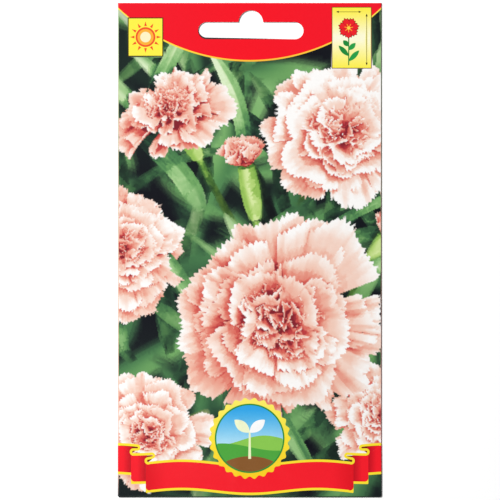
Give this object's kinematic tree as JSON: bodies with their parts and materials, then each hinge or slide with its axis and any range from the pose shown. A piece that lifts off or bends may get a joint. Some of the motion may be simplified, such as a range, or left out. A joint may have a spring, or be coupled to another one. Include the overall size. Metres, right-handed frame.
{
  "type": "paper seed packet",
  "caption": "Flat sealed paper seed packet with a punched hanging slot, a pasted back seam, a folded foot flap and loose seeds inside.",
  "frame": {"origin": "middle of the packet's footprint, on the surface that it lies on", "axes": "+X across the packet to the right of its front, +Y from its foot to its head with the hanging slot, +Z out of its front"},
  "size_m": [0.08, 0.15, 0.0022],
  "materials": {
    "printed_paper": "coated paper, offset printed in colour on its outer side, satin",
    "seed_coat": "dry black seed coat, finely wrinkled"
  },
  "bodies": {
    "root": {"wrapper": "printed_paper", "seed_drift": "seed_coat", "seed_loose_1": "seed_coat", "seed_loose_2": "seed_coat", "seed_loose_3": "seed_coat", "seed_loose_4": "seed_coat", "seed_loose_5": "seed_coat"}
  },
  "joints": []
}
